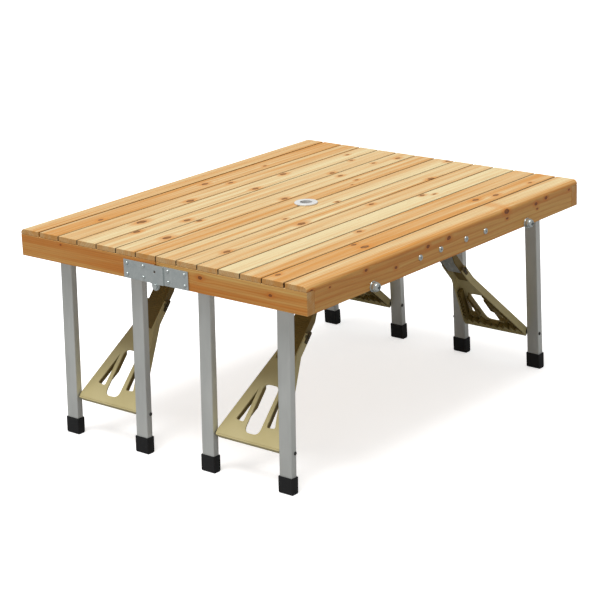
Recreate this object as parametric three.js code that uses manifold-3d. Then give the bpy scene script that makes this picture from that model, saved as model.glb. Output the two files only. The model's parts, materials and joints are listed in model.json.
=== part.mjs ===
// Folding picnic table: two shallow wooden trays joined by a fold line, each on two folding leg frames.
// Units are millimetres, +Z is up, X runs along the boards and the origin is on the floor below the centre.
// The front half lies on the -Y side of the fold line and the rear half on the +Y side.
import * as THREE from 'three';
import { mergeVertices } from 'three/addons/utils/BufferGeometryUtils.js';
import Module from 'manifold-3d';

const wasm = await Module();
wasm.setup();

// Driving dimensions of the open table.
const LENGTH = 850;
const WIDTH = 690;
const HEIGHT = 400;
const CASE_DEPTH = 52;
const BOARD_THICKNESS = 10;
const RAIL_THICKNESS = 20;
const BOARDS_PER_HALF = 7;
const BOARD_GAP = 1.8;
const FOLD_GAP = 2;
const FIT_GAP = 0.3;

// Legs: rectangular tubes in pairs, hung on a rod inside the tray.
const LEG_PIVOT_X = 385;
const LEG_PIVOT_Z = 366;
const LEG_SPLAY = THREE.MathUtils.degToRad(2);
const LEG_SPACING = 182;
const TUBE_DEPTH = 15;
const TUBE_WIDTH = 28;
const TUBE_WALL = 1.5;
const TUBE_ABOVE_PIVOT = 12;
const PIVOT_ROD_RADIUS = 4;
const FOOT_HEIGHT = 32;
const FOOT_WALL = 1.5;
const FOOT_FLOOR = 6;

// Folding brace: a flared panel pinned between the legs and an arm hung under the boards.
const BRACE_PIN_FROM_PIVOT = 290;
const BRACE_PIN_INWARD = 3.5;
const ARM_PIVOT_X = 129;
const ARM_PIVOT_Z = 369.5;
const ARM_ROD_RADIUS = 2.5;
const BRACE_SKIN = [-5.5, -3];
const BRACE_RIM_TOP = 9;
const BRACE_RIM = 2.5;
const SLOT_RIM = 2;
const SLOT_RIM_TOP = 4.5;
const PANEL_HALF_WIDTH = 75;
const FORK_START = 160;
const FORK_HALF_GAP = 20.3;
const HORN_HALF_WIDTH = 23.3;
const BARREL_RADIUS = 5.5;
const TRUNNION_RADIUS = 2;
const TRUNNION_HEAD = 3.5;
const ARM_HALF_WIDTH = 19.5;
const ARM_NECK_HALF_WIDTH = 16;
const ARM_NECK = 119;
const ARM_SHOULDER = 128;
const ARM_NECK_RIM_TOP = 2.4;
const ARM_TAIL = 52;

// Steel hinge plates across the fold line, and the pivot they turn on.
const FOLD_PIVOT_BELOW_RAIL = 3;
const PLATE_THICKNESS = 2;
const PLATE_REACH = 78;
const PLATE_TOP = 36;
const TAB_RADIUS = 8;
const HINGE_PIN_RADIUS = 3;
const PLATE_HOLE_RADIUS = 2.4;
const PLATE_HOLE_HEIGHT = 24;

// Parasol grommet in the middle of the table.
const GROMMET_FLANGE_RADIUS = 23;
const GROMMET_SLEEVE_RADIUS = 16;
const GROMMET_BORE_RADIUS = 12;
const GROMMET_HOLE_RADIUS = 16.5;
const GROMMET_FLANGE_HEIGHT = 3;
const GROMMET_SLEEVE_DEPTH = 16;

const HALF_LENGTH = LENGTH / 2;
const HALF_WIDTH = WIDTH / 2;
const RAIL_BOTTOM = HEIGHT - CASE_DEPTH;
const BOARD_BOTTOM = HEIGHT - BOARD_THICKNESS;
const RAIL_TOP = BOARD_BOTTOM - FIT_GAP;
const FOLD_EDGE = FOLD_GAP / 2;
const BOARD_PITCH = (HALF_WIDTH - FOLD_EDGE) / BOARDS_PER_HALF;
const EDGE_BOARD_INNER = HALF_WIDTH - BOARD_PITCH + BOARD_GAP;
const TRAY_INNER = FOLD_EDGE + RAIL_THICKNESS + FIT_GAP;
const TRAY_OUTER = HALF_WIDTH - RAIL_THICKNESS - FIT_GAP;
const HALF_CENTRE = (TRAY_INNER + TRAY_OUTER) / 2;
const TRAY_REACH = (TRAY_OUTER - TRAY_INNER) / 2;
const FOLD_PIVOT_Z = RAIL_BOTTOM - FOLD_PIVOT_BELOW_RAIL;

const wood = (colour) => new THREE.MeshStandardMaterial({ color: colour, roughness: 0.55, metalness: 0 });
const PALE_PINE = wood(0xe6d0a0);
const WARM_PINE = wood(0xdcb079);
const FRAME_PINE = wood(0xb98a4e);
const ALUMINIUM = new THREE.MeshStandardMaterial({ color: 0xa7a9a3, roughness: 0.4, metalness: 0.9 });
const ZINC_STEEL = new THREE.MeshStandardMaterial({ color: 0xa5acaa, roughness: 0.35, metalness: 0.95 });
const KHAKI_PLASTIC = new THREE.MeshStandardMaterial({ color: 0xb0a474, roughness: 0.6, metalness: 0 });
const BLACK_RUBBER = new THREE.MeshStandardMaterial({ color: 0x161616, roughness: 0.8, metalness: 0 });
const WHITE_PLASTIC = new THREE.MeshStandardMaterial({ color: 0xf2f2ee, roughness: 0.4, metalness: 0 });

// Boolean helpers: a closed geometry becomes a solid, and a solid becomes a geometry again.
function solidOf(geometry) {
  const bare = geometry.clone();
  bare.deleteAttribute('normal');
  bare.deleteAttribute('uv');
  const merged = mergeVertices(bare, 1e-4);
  return new wasm.Manifold(new wasm.Mesh({
    numProp: 3,
    vertProperties: new Float32Array(merged.attributes.position.array),
    triVerts: new Uint32Array(merged.index.array),
  }));
}

function geometryOf(solid) {
  const mesh = solid.getMesh();
  const geometry = new THREE.BufferGeometry();
  geometry.setAttribute('position', new THREE.BufferAttribute(mesh.vertProperties, 3));
  geometry.setIndex(new THREE.BufferAttribute(mesh.triVerts, 1));
  geometry.computeVertexNormals();
  return geometry;
}

function join(first, ...others) {
  return others.reduce((sum, other) => sum.add(solidOf(other)), solidOf(first));
}

function cut(solid, ...tools) {
  return tools.reduce((rest, tool) => rest.subtract(solidOf(tool)), solid);
}

// Shape helpers: spans are [low, high] pairs along each axis.
function block([x0, x1], [y0, y1], [z0, z1]) {
  const box = new THREE.BoxGeometry(x1 - x0, y1 - y0, z1 - z0);
  return box.translate((x0 + x1) / 2, (y0 + y1) / 2, (z0 + z1) / 2);
}

function rodAlongY(radius, [y0, y1], x, z, segments = 20) {
  return new THREE.CylinderGeometry(radius, radius, y1 - y0, segments).translate(x, (y0 + y1) / 2, z);
}

function rodAlongX(radius, [x0, x1], y, z, segments = 20) {
  const rod = new THREE.CylinderGeometry(radius, radius, x1 - x0, segments).rotateZ(-Math.PI / 2);
  return rod.translate((x0 + x1) / 2, y, z);
}

function outline(points) {
  return new THREE.Shape(points.map(([u, v]) => new THREE.Vector2(u, v)));
}

function extrude(shape, depth, curveSegments = 8) {
  return new THREE.ExtrudeGeometry(shape, { depth, bevelEnabled: false, curveSegments });
}

// The outline lies in the Y-Z plane and is drawn out along X.
function extrudeAlongX(shape, [x0, x1]) {
  const turn = new THREE.Matrix4().makeBasis(
    new THREE.Vector3(0, 1, 0),
    new THREE.Vector3(0, 0, 1),
    new THREE.Vector3(1, 0, 0),
  );
  return extrude(shape, x1 - x0).applyMatrix4(turn).translate(x0, 0, 0);
}

// The outline lies in the X-Z plane and is drawn out along Y.
function extrudeAlongY(shape, [y0, y1]) {
  return extrude(shape, y1 - y0).rotateX(Math.PI / 2).translate(0, y1, 0);
}

function extrudeAlongZ(shape, [z0, z1], curveSegments = 8) {
  return extrude(shape, z1 - z0, curveSegments).translate(0, 0, z0);
}

function roundedRectangle(width, height, radius) {
  const [w, h] = [width / 2, height / 2];
  const shape = new THREE.Shape();
  shape.moveTo(-w + radius, -h);
  shape.absarc(w - radius, -h + radius, radius, -Math.PI / 2, 0);
  shape.absarc(w - radius, h - radius, radius, 0, Math.PI / 2);
  shape.absarc(-w + radius, h - radius, radius, Math.PI / 2, Math.PI);
  shape.absarc(-w + radius, -h + radius, radius, Math.PI, 1.5 * Math.PI);
  return shape;
}

function piece(name, geometry, material) {
  const mesh = new THREE.Mesh(geometry, material);
  mesh.name = name;
  return mesh;
}

// Wooden tray. In these functions +Y runs from the fold line towards the outer edge of the half.
function parasolNotch() {
  const throughCase = CASE_DEPTH * 2;
  const notch = new THREE.CylinderGeometry(GROMMET_HOLE_RADIUS, GROMMET_HOLE_RADIUS, throughCase, 32);
  return notch.rotateX(Math.PI / 2).translate(0, 0, RAIL_BOTTOM);
}

function board(index) {
  const y0 = FOLD_EDGE + index * BOARD_PITCH;
  const y1 = y0 + BOARD_PITCH - BOARD_GAP;
  const ease = 1.5;
  const profile = outline([
    [y0, BOARD_BOTTOM],
    [y1, BOARD_BOTTOM],
    [y1, HEIGHT - ease],
    [y1 - ease, HEIGHT],
    [y0 + ease, HEIGHT],
    [y0, HEIGHT - ease],
  ]);
  const plank = extrudeAlongX(profile, [-HALF_LENGTH, HALF_LENGTH]);
  return index === 0 ? geometryOf(cut(solidOf(plank), parasolNotch())) : plank;
}

// The outermost board and the side rail are one piece with a rounded top edge.
// The end rails lap the ends of the side rail, below the board.
function edgeRail() {
  const edgeRadius = 9;
  const board = new THREE.Shape();
  board.moveTo(EDGE_BOARD_INNER, BOARD_BOTTOM);
  board.lineTo(HALF_WIDTH, BOARD_BOTTOM);
  board.absarc(HALF_WIDTH - edgeRadius, HEIGHT - edgeRadius, edgeRadius, 0, Math.PI / 2);
  board.lineTo(EDGE_BOARD_INNER, HEIGHT);
  const reach = HALF_LENGTH - RAIL_THICKNESS - FIT_GAP;
  return geometryOf(join(
    extrudeAlongX(board, [-HALF_LENGTH, HALF_LENGTH]),
    block([-reach, reach], [HALF_WIDTH - RAIL_THICKNESS, HALF_WIDTH], [RAIL_BOTTOM, BOARD_BOTTOM + 1]),
  ));
}

function innerRail() {
  const reach = HALF_LENGTH - RAIL_THICKNESS - FIT_GAP;
  const rail = block([-reach, reach], [FOLD_EDGE, FOLD_EDGE + RAIL_THICKNESS], [RAIL_BOTTOM, RAIL_TOP]);
  return geometryOf(cut(solidOf(rail), parasolNotch()));
}

function endRail(end) {
  const inner = HALF_LENGTH - RAIL_THICKNESS;
  const span = end > 0 ? [inner, HALF_LENGTH] : [-HALF_LENGTH, -inner];
  return block(span, [FOLD_EDGE, HALF_WIDTH], [RAIL_BOTTOM, RAIL_TOP]);
}

function centreBatten() {
  const halfBreadth = 35;
  const thickness = 12;
  return block([-halfBreadth, halfBreadth], [TRAY_INNER, TRAY_OUTER], [RAIL_TOP - thickness, RAIL_TOP]);
}

// Leg frames are drawn for the +X end of a half and turned round for the other end.
function legPivotRod() {
  return rodAlongY(PIVOT_ROD_RADIUS, [-TRAY_REACH, TRAY_REACH], LEG_PIVOT_X, LEG_PIVOT_Z);
}

function armBracket() {
  const cheekInner = ARM_NECK_HALF_WIDTH + 3.5;
  const cheekOuter = cheekInner + 3;
  const flangeReach = cheekOuter + 16;
  const flange = [RAIL_TOP - 2.5, RAIL_TOP];
  const along = [ARM_PIVOT_X - 10, ARM_PIVOT_X + 10];
  const cheek = [ARM_PIVOT_Z - ARM_ROD_RADIUS, RAIL_TOP];
  return geometryOf(join(
    block(along, [-flangeReach, flangeReach], flange),
    block(along, [cheekInner, cheekOuter], cheek),
    block(along, [-cheekOuter, -cheekInner], cheek),
    rodAlongY(ARM_ROD_RADIUS, [-cheekOuter, cheekOuter], ARM_PIVOT_X, ARM_PIVOT_Z),
  ));
}

// Height, measured along the splayed leg from its pivot, of the floor below the point x across the leg.
function floorBelow(x) {
  return -(LEG_PIVOT_Z + x * Math.sin(LEG_SPLAY)) / Math.cos(LEG_SPLAY);
}

function legTube(side) {
  const y = side * LEG_SPACING / 2;
  const profile = roundedRectangle(TUBE_DEPTH, TUBE_WIDTH, 2);
  profile.holes.push(roundedRectangle(TUBE_DEPTH - 2 * TUBE_WALL, TUBE_WIDTH - 2 * TUBE_WALL, 0.8));
  const foot = floorBelow(0) + FOOT_FLOOR + 2;
  const cornerSegments = 3;
  const tube = extrudeAlongZ(profile, [foot, TUBE_ABOVE_PIVOT], cornerSegments).translate(0, y, 0);
  const across = [y - TUBE_WIDTH, y + TUBE_WIDTH];
  return geometryOf(cut(
    solidOf(tube),
    rodAlongY(PIVOT_ROD_RADIUS + 0.4, across, 0, 0),
    rodAlongY(TRUNNION_RADIUS + 0.4, across, -BRACE_PIN_INWARD, -BRACE_PIN_FROM_PIVOT),
  ));
}

function footCap(side) {
  const y = side * LEG_SPACING / 2;
  const halfDepth = TUBE_DEPTH / 2 + FOOT_WALL;
  const halfWidth = TUBE_WIDTH / 2 + FOOT_WALL;
  const ease = 2.5;
  const top = floorBelow(0) + FOOT_HEIGHT;
  const profile = outline([
    [-halfDepth + ease, floorBelow(-halfDepth + ease)],
    [halfDepth - ease, floorBelow(halfDepth - ease)],
    [halfDepth, floorBelow(halfDepth) + ease],
    [halfDepth, top],
    [-halfDepth, top],
    [-halfDepth, floorBelow(-halfDepth) + ease],
  ]);
  const cap = extrudeAlongY(profile, [y - halfWidth, y + halfWidth]);
  const socketHalfDepth = TUBE_DEPTH / 2 + FIT_GAP;
  const socketHalfWidth = TUBE_WIDTH / 2 + FIT_GAP;
  const socket = block(
    [-socketHalfDepth, socketHalfDepth],
    [y - socketHalfWidth, y + socketHalfWidth],
    [floorBelow(0) + FOOT_FLOOR, top + 1],
  );
  return geometryOf(cut(solidOf(cap), socket));
}

// The brace is a straight line when the legs are out and doubles back on itself when they are folded.
const legPivot = new THREE.Vector2(LEG_PIVOT_X, LEG_PIVOT_Z);
const armPivot = new THREE.Vector2(ARM_PIVOT_X, ARM_PIVOT_Z);
const bracePin = new THREE.Vector2(LEG_PIVOT_X - BRACE_PIN_INWARD, LEG_PIVOT_Z - BRACE_PIN_FROM_PIVOT);
bracePin.rotateAround(legPivot, LEG_SPLAY);
const foldedPin = new THREE.Vector2(LEG_PIVOT_X - BRACE_PIN_FROM_PIVOT, LEG_PIVOT_Z + BRACE_PIN_INWARD);
const openReach = bracePin.distanceTo(armPivot);
const foldedReach = foldedPin.distanceTo(armPivot);
const PANEL_LENGTH = (openReach + foldedReach) / 2;
const ARM_LENGTH = (openReach - foldedReach) / 2;
const BRACE_ANGLE = armPivot.clone().sub(bracePin).angle();

// Panel stations along its own x axis, which runs from the brace pin towards the knuckle.
const PANEL_BASE = -BARREL_RADIUS;
const PANEL_SHOULDER = 6;
const PANEL_KINK = 176;
const PANEL_TIP = PANEL_LENGTH + BARREL_RADIUS;

function panelOutline() {
  return outline([
    [PANEL_BASE, -PANEL_HALF_WIDTH],
    [PANEL_SHOULDER, -PANEL_HALF_WIDTH],
    [PANEL_KINK, -HORN_HALF_WIDTH],
    [PANEL_TIP, -HORN_HALF_WIDTH],
    [PANEL_TIP, -FORK_HALF_GAP],
    [FORK_START, -FORK_HALF_GAP],
    [FORK_START, FORK_HALF_GAP],
    [PANEL_TIP, FORK_HALF_GAP],
    [PANEL_TIP, HORN_HALF_WIDTH],
    [PANEL_KINK, HORN_HALF_WIDTH],
    [PANEL_SHOULDER, PANEL_HALF_WIDTH],
    [PANEL_BASE, PANEL_HALF_WIDTH],
  ]);
}

function middleSlot() {
  const [start, end, halfWidth, corner] = [12, 109, 17, 8];
  return outline([
    [start, corner - halfWidth],
    [start + corner, -halfWidth],
    [end - corner, -halfWidth],
    [end, corner - halfWidth],
    [end, halfWidth - corner],
    [end - corner, halfWidth],
    [start + corner, halfWidth],
    [start, halfWidth - corner],
  ]);
}

// A slot that narrows towards the knuckle, grown by a margin for the rim that stands round it.
function sideSlot(side, margin) {
  const [start, end] = [29 - margin, 95 + margin];
  return outline([
    [start, side * (29 - margin)],
    [end, side * (27 - margin)],
    [end, side * (29 + margin)],
    [start, side * (41 + margin)],
  ]);
}

// A deep rim stands along each flared edge of the panel, on the face away from the legs.
function flareRim(side) {
  const rim = outline([
    [PANEL_SHOULDER, side * PANEL_HALF_WIDTH],
    [PANEL_KINK, side * HORN_HALF_WIDTH],
    [PANEL_TIP, side * HORN_HALF_WIDTH],
    [PANEL_TIP, side * FORK_HALF_GAP],
    [PANEL_KINK - 1, side * FORK_HALF_GAP],
    [PANEL_SHOULDER, side * (PANEL_HALF_WIDTH - BRACE_RIM)],
  ]);
  return extrudeAlongZ(rim, [BRACE_SKIN[0], BRACE_RIM_TOP]);
}

// The span from low to high on one side of the middle, as a [low, high] pair.
function mirrored(side, low, high) {
  return side > 0 ? [low, high] : [-high, -low];
}

function bracePanel() {
  const width = [-PANEL_HALF_WIDTH, PANEL_HALF_WIDTH];
  const slotRim = [BRACE_SKIN[0], SLOT_RIM_TOP];
  const trunnionReach = LEG_SPACING / 2 + TUBE_WIDTH / 2 + FIT_GAP;
  const headEnd = trunnionReach + 1.5;
  const added = [
    rodAlongY(BARREL_RADIUS, width, 0, 0),
    rodAlongY(TRUNNION_RADIUS, [-headEnd, headEnd], 0, 0),
  ];
  for (const side of [-1, 1]) {
    added.push(flareRim(side));
    added.push(block([41, 101], mirrored(side, 17, 17 + SLOT_RIM), slotRim));
    added.push(extrudeAlongZ(sideSlot(side, SLOT_RIM), slotRim));
    added.push(rodAlongY(BARREL_RADIUS, mirrored(side, FORK_HALF_GAP, HORN_HALF_WIDTH), PANEL_LENGTH, 0));
    added.push(rodAlongY(TRUNNION_HEAD, mirrored(side, trunnionReach, headEnd), 0, 0));
  }
  const panel = join(extrudeAlongZ(panelOutline(), BRACE_SKIN), ...added);
  const slots = [middleSlot(), sideSlot(-1, 0), sideSlot(1, 0)];
  const through = [BRACE_SKIN[0] - 1, SLOT_RIM_TOP + 1];
  return geometryOf(cut(panel, ...slots.map((shape) => extrudeAlongZ(shape, through))));
}

function armOutline() {
  const head = -BARREL_RADIUS;
  const tail = ARM_LENGTH + ARM_TAIL;
  const ease = 5;
  return outline([
    [head, -ARM_NECK_HALF_WIDTH],
    [ARM_NECK, -ARM_NECK_HALF_WIDTH],
    [ARM_SHOULDER, -ARM_HALF_WIDTH],
    [tail - ease, -ARM_HALF_WIDTH],
    [tail, ease - ARM_HALF_WIDTH],
    [tail, ARM_HALF_WIDTH - ease],
    [tail - ease, ARM_HALF_WIDTH],
    [ARM_SHOULDER, ARM_HALF_WIDTH],
    [ARM_NECK, ARM_NECK_HALF_WIDTH],
    [head, ARM_NECK_HALF_WIDTH],
  ]);
}

// The arm is a channel with its web outwards: x runs from its pivot under the boards towards the knuckle.
function braceArm() {
  const skin = BRACE_SKIN.map((level) => -level).reverse();
  const neck = [-ARM_NECK_HALF_WIDTH, ARM_NECK_HALF_WIDTH];
  const added = [
    rodAlongY(BARREL_RADIUS, neck, 0, 0),
    rodAlongY(BARREL_RADIUS, [-ARM_HALF_WIDTH, ARM_HALF_WIDTH], ARM_LENGTH, 0),
  ];
  const rimEnd = ARM_LENGTH + BARREL_RADIUS;
  const deepRim = outline([
    [ARM_SHOULDER, skin[1]],
    [ARM_SHOULDER, -ARM_NECK_RIM_TOP],
    [ARM_SHOULDER + 18, -BRACE_RIM_TOP],
    [rimEnd, -BRACE_RIM_TOP],
    [rimEnd, skin[1]],
  ]);
  for (const side of [-1, 1]) {
    const shallow = mirrored(side, ARM_NECK_HALF_WIDTH - BRACE_RIM, ARM_NECK_HALF_WIDTH);
    const deep = mirrored(side, ARM_HALF_WIDTH - BRACE_RIM, ARM_HALF_WIDTH);
    added.push(block([0, ARM_NECK], shallow, [-ARM_NECK_RIM_TOP, skin[1]]));
    added.push(extrudeAlongY(deepRim, deep));
  }
  const arm = join(extrudeAlongZ(armOutline(), skin), ...added);
  return geometryOf(cut(arm, rodAlongY(ARM_ROD_RADIUS + 0.4, [neck[0] - 1, neck[1] + 1], 0, 0)));
}

function legFrame(prefix) {
  const frame = new THREE.Group();
  frame.add(piece(`${prefix}_leg_pivot_rod`, legPivotRod(), ZINC_STEEL));
  frame.add(piece(`${prefix}_arm_bracket`, armBracket(), ZINC_STEEL));

  const legs = new THREE.Group();
  legs.position.set(LEG_PIVOT_X, 0, LEG_PIVOT_Z);
  legs.rotation.y = -LEG_SPLAY;
  for (const side of [-1, 1]) {
    legs.add(piece(`${prefix}_leg_${sideName(prefix, side)}`, legTube(side), ALUMINIUM));
    legs.add(piece(`${prefix}_foot_${sideName(prefix, side)}`, footCap(side), BLACK_RUBBER));
  }

  const panel = piece(`${prefix}_brace_panel`, bracePanel(), KHAKI_PLASTIC);
  panel.position.set(bracePin.x, 0, bracePin.y);
  panel.rotation.y = -BRACE_ANGLE;

  const arm = piece(`${prefix}_brace_arm`, braceArm(), KHAKI_PLASTIC);
  arm.position.set(armPivot.x, 0, armPivot.y);
  arm.rotation.y = Math.PI - BRACE_ANGLE;

  frame.add(legs, panel, arm);
  return frame;
}

// A frame that is turned end for end also swaps its inner and outer legs.
function sideName(prefix, side) {
  const turned = prefix === 'rear_left' || prefix === 'front_right';
  return (side > 0) !== turned ? 'outer' : 'inner';
}

// One half of the table, drawn on the +Y side; the front half is the same half turned about Z.
function half(name) {
  const turned = name === 'front';
  const group = new THREE.Group();
  group.rotation.z = turned ? Math.PI : 0;
  group.add(piece(`${name}_edge_rail`, edgeRail(), FRAME_PINE));
  group.add(piece(`${name}_inner_rail`, innerRail(), FRAME_PINE));
  group.add(piece(`${name}_centre_batten`, centreBatten(), FRAME_PINE));
  for (let index = 0; index < BOARDS_PER_HALF - 1; index += 1) {
    group.add(piece(`${name}_board_${index + 1}`, board(index), index % 2 ? WARM_PINE : PALE_PINE));
  }
  for (const end of [-1, 1]) {
    const endName = (end > 0) !== turned ? 'right' : 'left';
    group.add(piece(`${name}_end_rail_${endName}`, endRail(end), FRAME_PINE));
    const frame = legFrame(`${name}_${endName}`);
    frame.position.y = HALF_CENTRE;
    frame.rotation.z = end > 0 ? 0 : Math.PI;
    group.add(frame);
  }
  return group;
}

// Hinge plates sit on the ends of the table in two layers, so the front plate's ear covers the rear one.
function layerSpan(end, layer) {
  const near = HALF_LENGTH + FIT_GAP + layer * (PLATE_THICKNESS + FIT_GAP);
  const far = near + PLATE_THICKNESS;
  return end > 0 ? [near, far] : [-far, -near];
}

function tabOutline(halfBreadth, top) {
  const shape = new THREE.Shape();
  shape.moveTo(halfBreadth, top);
  shape.lineTo(-halfBreadth, top);
  shape.absarc(0, FOLD_PIVOT_Z, TAB_RADIUS, Math.PI, 2 * Math.PI);
  return shape;
}

function rearHingePlate(end) {
  const span = layerSpan(end, 0);
  const plateBottom = RAIL_BOTTOM + 1;
  const plate = block(span, [2, PLATE_REACH], [plateBottom, RAIL_BOTTOM + PLATE_TOP]);
  const tab = extrudeAlongX(tabOutline(TAB_RADIUS, RAIL_BOTTOM + 12), span);
  const outer = layerSpan(end, 1);
  const headThickness = 2;
  const pinEnd = Math.max(...outer.map(Math.abs)) + FIT_GAP;
  const pin = end > 0 ? [span[0], pinEnd + headThickness] : [-pinEnd - headThickness, span[1]];
  const head = end > 0 ? [pinEnd, pinEnd + headThickness] : [-pinEnd - headThickness, -pinEnd];
  return geometryOf(join(
    plate,
    tab,
    rodAlongX(HINGE_PIN_RADIUS, pin, 0, FOLD_PIVOT_Z),
    rodAlongX(HINGE_PIN_RADIUS + 2.2, head, 0, FOLD_PIVOT_Z),
  ));
}

function frontHingePlate(end) {
  const flat = layerSpan(end, 0);
  const raised = layerSpan(end, 1);
  const both = [Math.min(...flat, ...raised), Math.max(...flat, ...raised)];
  const step = [-TAB_RADIUS - 12, -TAB_RADIUS - 2];
  const height = [RAIL_BOTTOM + 1, RAIL_BOTTOM + PLATE_TOP];
  const earReach = 11;
  const plate = join(
    block(flat, [-PLATE_REACH, step[0] + 1], height),
    block(both, step, height),
    block(raised, [step[1] - 1, earReach], height),
    extrudeAlongX(tabOutline(TAB_RADIUS, RAIL_BOTTOM + 12), raised),
  );
  const through = [both[0] - 1, both[1] + 1];
  return geometryOf(cut(
    plate,
    rodAlongX(HINGE_PIN_RADIUS + 0.4, through, 0, FOLD_PIVOT_Z),
    rodAlongX(PLATE_HOLE_RADIUS, through, 0, RAIL_BOTTOM + PLATE_HOLE_HEIGHT, 12),
  ));
}

function parasolGrommet() {
  const top = HEIGHT + FIT_GAP + GROMMET_FLANGE_HEIGHT;
  const rim = HEIGHT + FIT_GAP;
  const ease = 1;
  const profile = [
    [GROMMET_BORE_RADIUS, rim - GROMMET_SLEEVE_DEPTH],
    [GROMMET_SLEEVE_RADIUS, rim - GROMMET_SLEEVE_DEPTH],
    [GROMMET_SLEEVE_RADIUS, rim],
    [GROMMET_FLANGE_RADIUS, rim],
    [GROMMET_FLANGE_RADIUS, top - ease],
    [GROMMET_FLANGE_RADIUS - ease, top],
    [GROMMET_BORE_RADIUS, top],
    [GROMMET_BORE_RADIUS, rim - GROMMET_SLEEVE_DEPTH],
  ];
  const lathe = new THREE.LatheGeometry(profile.map(([r, z]) => new THREE.Vector2(r, z)), 32);
  return lathe.rotateX(Math.PI / 2);
}

const table = new THREE.Group();
table.add(half('rear'), half('front'));
for (const [endName, end] of [['left', -1], ['right', 1]]) {
  table.add(piece(`rear_hinge_plate_${endName}`, rearHingePlate(end), ZINC_STEEL));
  table.add(piece(`front_hinge_plate_${endName}`, frontHingePlate(end), ZINC_STEEL));
}
table.add(piece('parasol_grommet', parasolGrommet(), WHITE_PLASTIC));

export default table;
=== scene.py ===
"""Looks of the folding picnic table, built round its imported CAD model.

Lengths are in metres in the CAD frame: +Z is up, X runs along the boards and the floor is at zero.
"""
import json
import math
import random

import bmesh
import bpy
from mathutils import Matrix, Vector


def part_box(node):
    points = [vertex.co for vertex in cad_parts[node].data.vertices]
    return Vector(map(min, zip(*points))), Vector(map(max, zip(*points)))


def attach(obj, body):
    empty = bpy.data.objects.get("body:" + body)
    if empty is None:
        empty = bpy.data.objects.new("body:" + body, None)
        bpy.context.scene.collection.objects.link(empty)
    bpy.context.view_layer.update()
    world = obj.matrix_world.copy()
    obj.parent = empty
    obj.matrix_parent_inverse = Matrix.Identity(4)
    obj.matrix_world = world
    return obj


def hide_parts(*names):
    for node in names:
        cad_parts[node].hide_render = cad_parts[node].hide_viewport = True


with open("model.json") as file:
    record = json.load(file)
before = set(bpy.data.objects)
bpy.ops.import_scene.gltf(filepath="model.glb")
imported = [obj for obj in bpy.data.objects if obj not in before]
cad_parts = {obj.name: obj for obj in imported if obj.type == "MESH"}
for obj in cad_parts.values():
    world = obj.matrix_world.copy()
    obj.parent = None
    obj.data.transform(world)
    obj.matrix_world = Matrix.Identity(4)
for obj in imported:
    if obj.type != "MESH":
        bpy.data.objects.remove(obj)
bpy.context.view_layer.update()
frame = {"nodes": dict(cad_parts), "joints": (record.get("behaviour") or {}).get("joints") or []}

MM = 0.001
HALVES = ("rear", "front")
ENDS = ("left", "right")
FRAMES = [f"{half}_{end}" for half in HALVES for end in ENDS]
BOARDS = range(1, 7)


def joint_place(name):
    """Where the named joint's axis stands, in metres."""
    joint = next(j for j in frame["joints"] if j["name"] == name)
    return Vector(joint["pos_m"])


# ---------------------------------------------------------------- finishes

def srgb(red, green, blue):
    """A shader colour from the usual 0 to 255 screen values."""
    def linear(value):
        share = value / 255
        return share / 12.92 if share <= 0.04045 else ((share + 0.055) / 1.055) ** 2.4
    return (linear(red), linear(green), linear(blue), 1.0)


class Finish:
    """A material being built: short calls for the shader nodes that the finishes share."""

    def __init__(self, name):
        self.material = bpy.data.materials.new(name)
        self.material.use_nodes = True
        self.tree = self.material.node_tree
        self.shader = self.tree.nodes["Principled BSDF"]

    def add(self, kind, inputs, **settings):
        node = self.tree.nodes.new(kind)
        for key, value in settings.items():
            setattr(node, key, value)
        for key, value in inputs.items():
            self.feed(node.inputs[key], value)
        return node

    def feed(self, socket, value):
        if isinstance(value, bpy.types.NodeSocket):
            self.tree.links.new(value, socket)
        else:
            socket.default_value = value

    def surface(self, **inputs):
        for key, value in inputs.items():
            self.feed(self.shader.inputs[key.replace("_", " ")], value)

    def place(self):
        return self.add("ShaderNodeTexCoord", {}).outputs["Object"]

    def scaled(self, vector, scale, offset=(0, 0, 0)):
        """The vector times scale, for noise that is drawn out along one axis."""
        inputs = {"Vector": vector, "Scale": scale, "Location": offset}
        return self.add("ShaderNodeMapping", inputs).outputs["Vector"]

    def noise(self, vector, scale=1.0, detail=2.0, roughness=0.5):
        inputs = {"Vector": vector, "Scale": scale, "Detail": detail, "Roughness": roughness}
        return self.add("ShaderNodeTexNoise", inputs).outputs[0]

    def math(self, operation, first, second=0.0, third=0.0):
        inputs = {0: first, 1: second, 2: third}
        return self.add("ShaderNodeMath", inputs, operation=operation).outputs[0]

    def spread(self, value, low, high):
        """The value moved from low..high to 0..1 and held there."""
        inputs = {"Value": value, "From Min": low, "From Max": high}
        return self.add("ShaderNodeMapRange", inputs).outputs[0]

    def between(self, value, low, high):
        """The value moved from 0..1 to low..high."""
        inputs = {"Value": value, "To Min": low, "To Max": high}
        return self.add("ShaderNodeMapRange", inputs).outputs[0]

    def split(self, vector):
        return self.add("ShaderNodeSeparateXYZ", {"Vector": vector}).outputs

    def ramp(self, value, stops):
        node = self.add("ShaderNodeValToRGB", {0: value})
        elements = node.color_ramp.elements
        for _ in stops[2:]:
            elements.new(0.5)
        for element, (position, colour) in zip(elements, stops):
            element.position = position
            element.color = colour
        return node.outputs["Color"]

    def mix(self, share, first, second, blend="MIX"):
        inputs = {"Fac": share, "Color1": first, "Color2": second}
        return self.add("ShaderNodeMixRGB", inputs, blend_type=blend).outputs["Color"]

    def bump(self, height, distance, strength=1.0):
        inputs = {"Height": height, "Distance": distance, "Strength": strength}
        self.surface(Normal=self.add("ShaderNodeBump", inputs).outputs["Normal"])


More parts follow.
